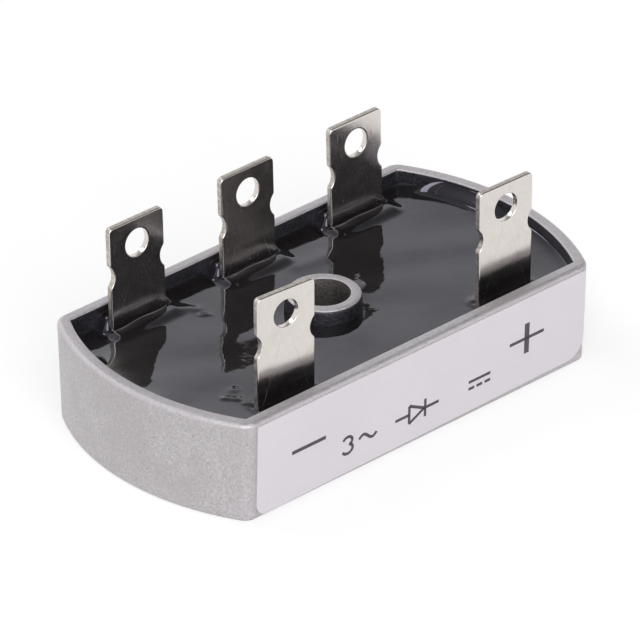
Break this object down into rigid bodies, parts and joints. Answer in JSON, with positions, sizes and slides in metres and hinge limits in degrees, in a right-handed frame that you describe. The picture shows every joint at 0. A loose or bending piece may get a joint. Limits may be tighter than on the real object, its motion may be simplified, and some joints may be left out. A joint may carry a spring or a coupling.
{
  "type": "bridge rectifier",
  "caption": "Three-phase bridge rectifier in a resin-filled cast case with a central mounting hole and upright screw blades.",
  "frame": {"origin": "centre of the underside of the case, on the axis of the mounting hole", "axes": "+X along the label from the negative to the positive blade, +Y away from the label, +Z out of the open top"},
  "size_m": [0.0684, 0.0361, 0.028],
  "materials": {
    "cast_aluminium": "blasted die casting, matt",
    "black_resin": "poured epoxy, mirror gloss",
    "label_film": "satin printed film",
    "plated_terminal": "bright nickel plate over stamped sheet",
    "bare_copper": "bare copper",
    "alumina": "matt white",
    "silicon": "dark polished chip"
  },
  "bodies": {
    "root": {"housing": "cast_aluminium", "potting_resin": "black_resin", "label": "label_film", "terminal_ac_left": "plated_terminal", "terminal_ac_middle": "plated_terminal", "terminal_ac_right": "plated_terminal", "terminal_negative": "plated_terminal", "terminal_positive": "plated_terminal", "bus_plate_negative": "bare_copper", "bus_plate_positive": "bare_copper", "ceramic_front": "alumina", "ceramic_back": "alumina", "chip_negative_left": "silicon", "chip_negative_middle": "silicon", "chip_negative_right": "silicon", "chip_positive_left": "silicon", "chip_positive_middle": "silicon", "chip_positive_right": "silicon"}
  },
  "joints": []
}
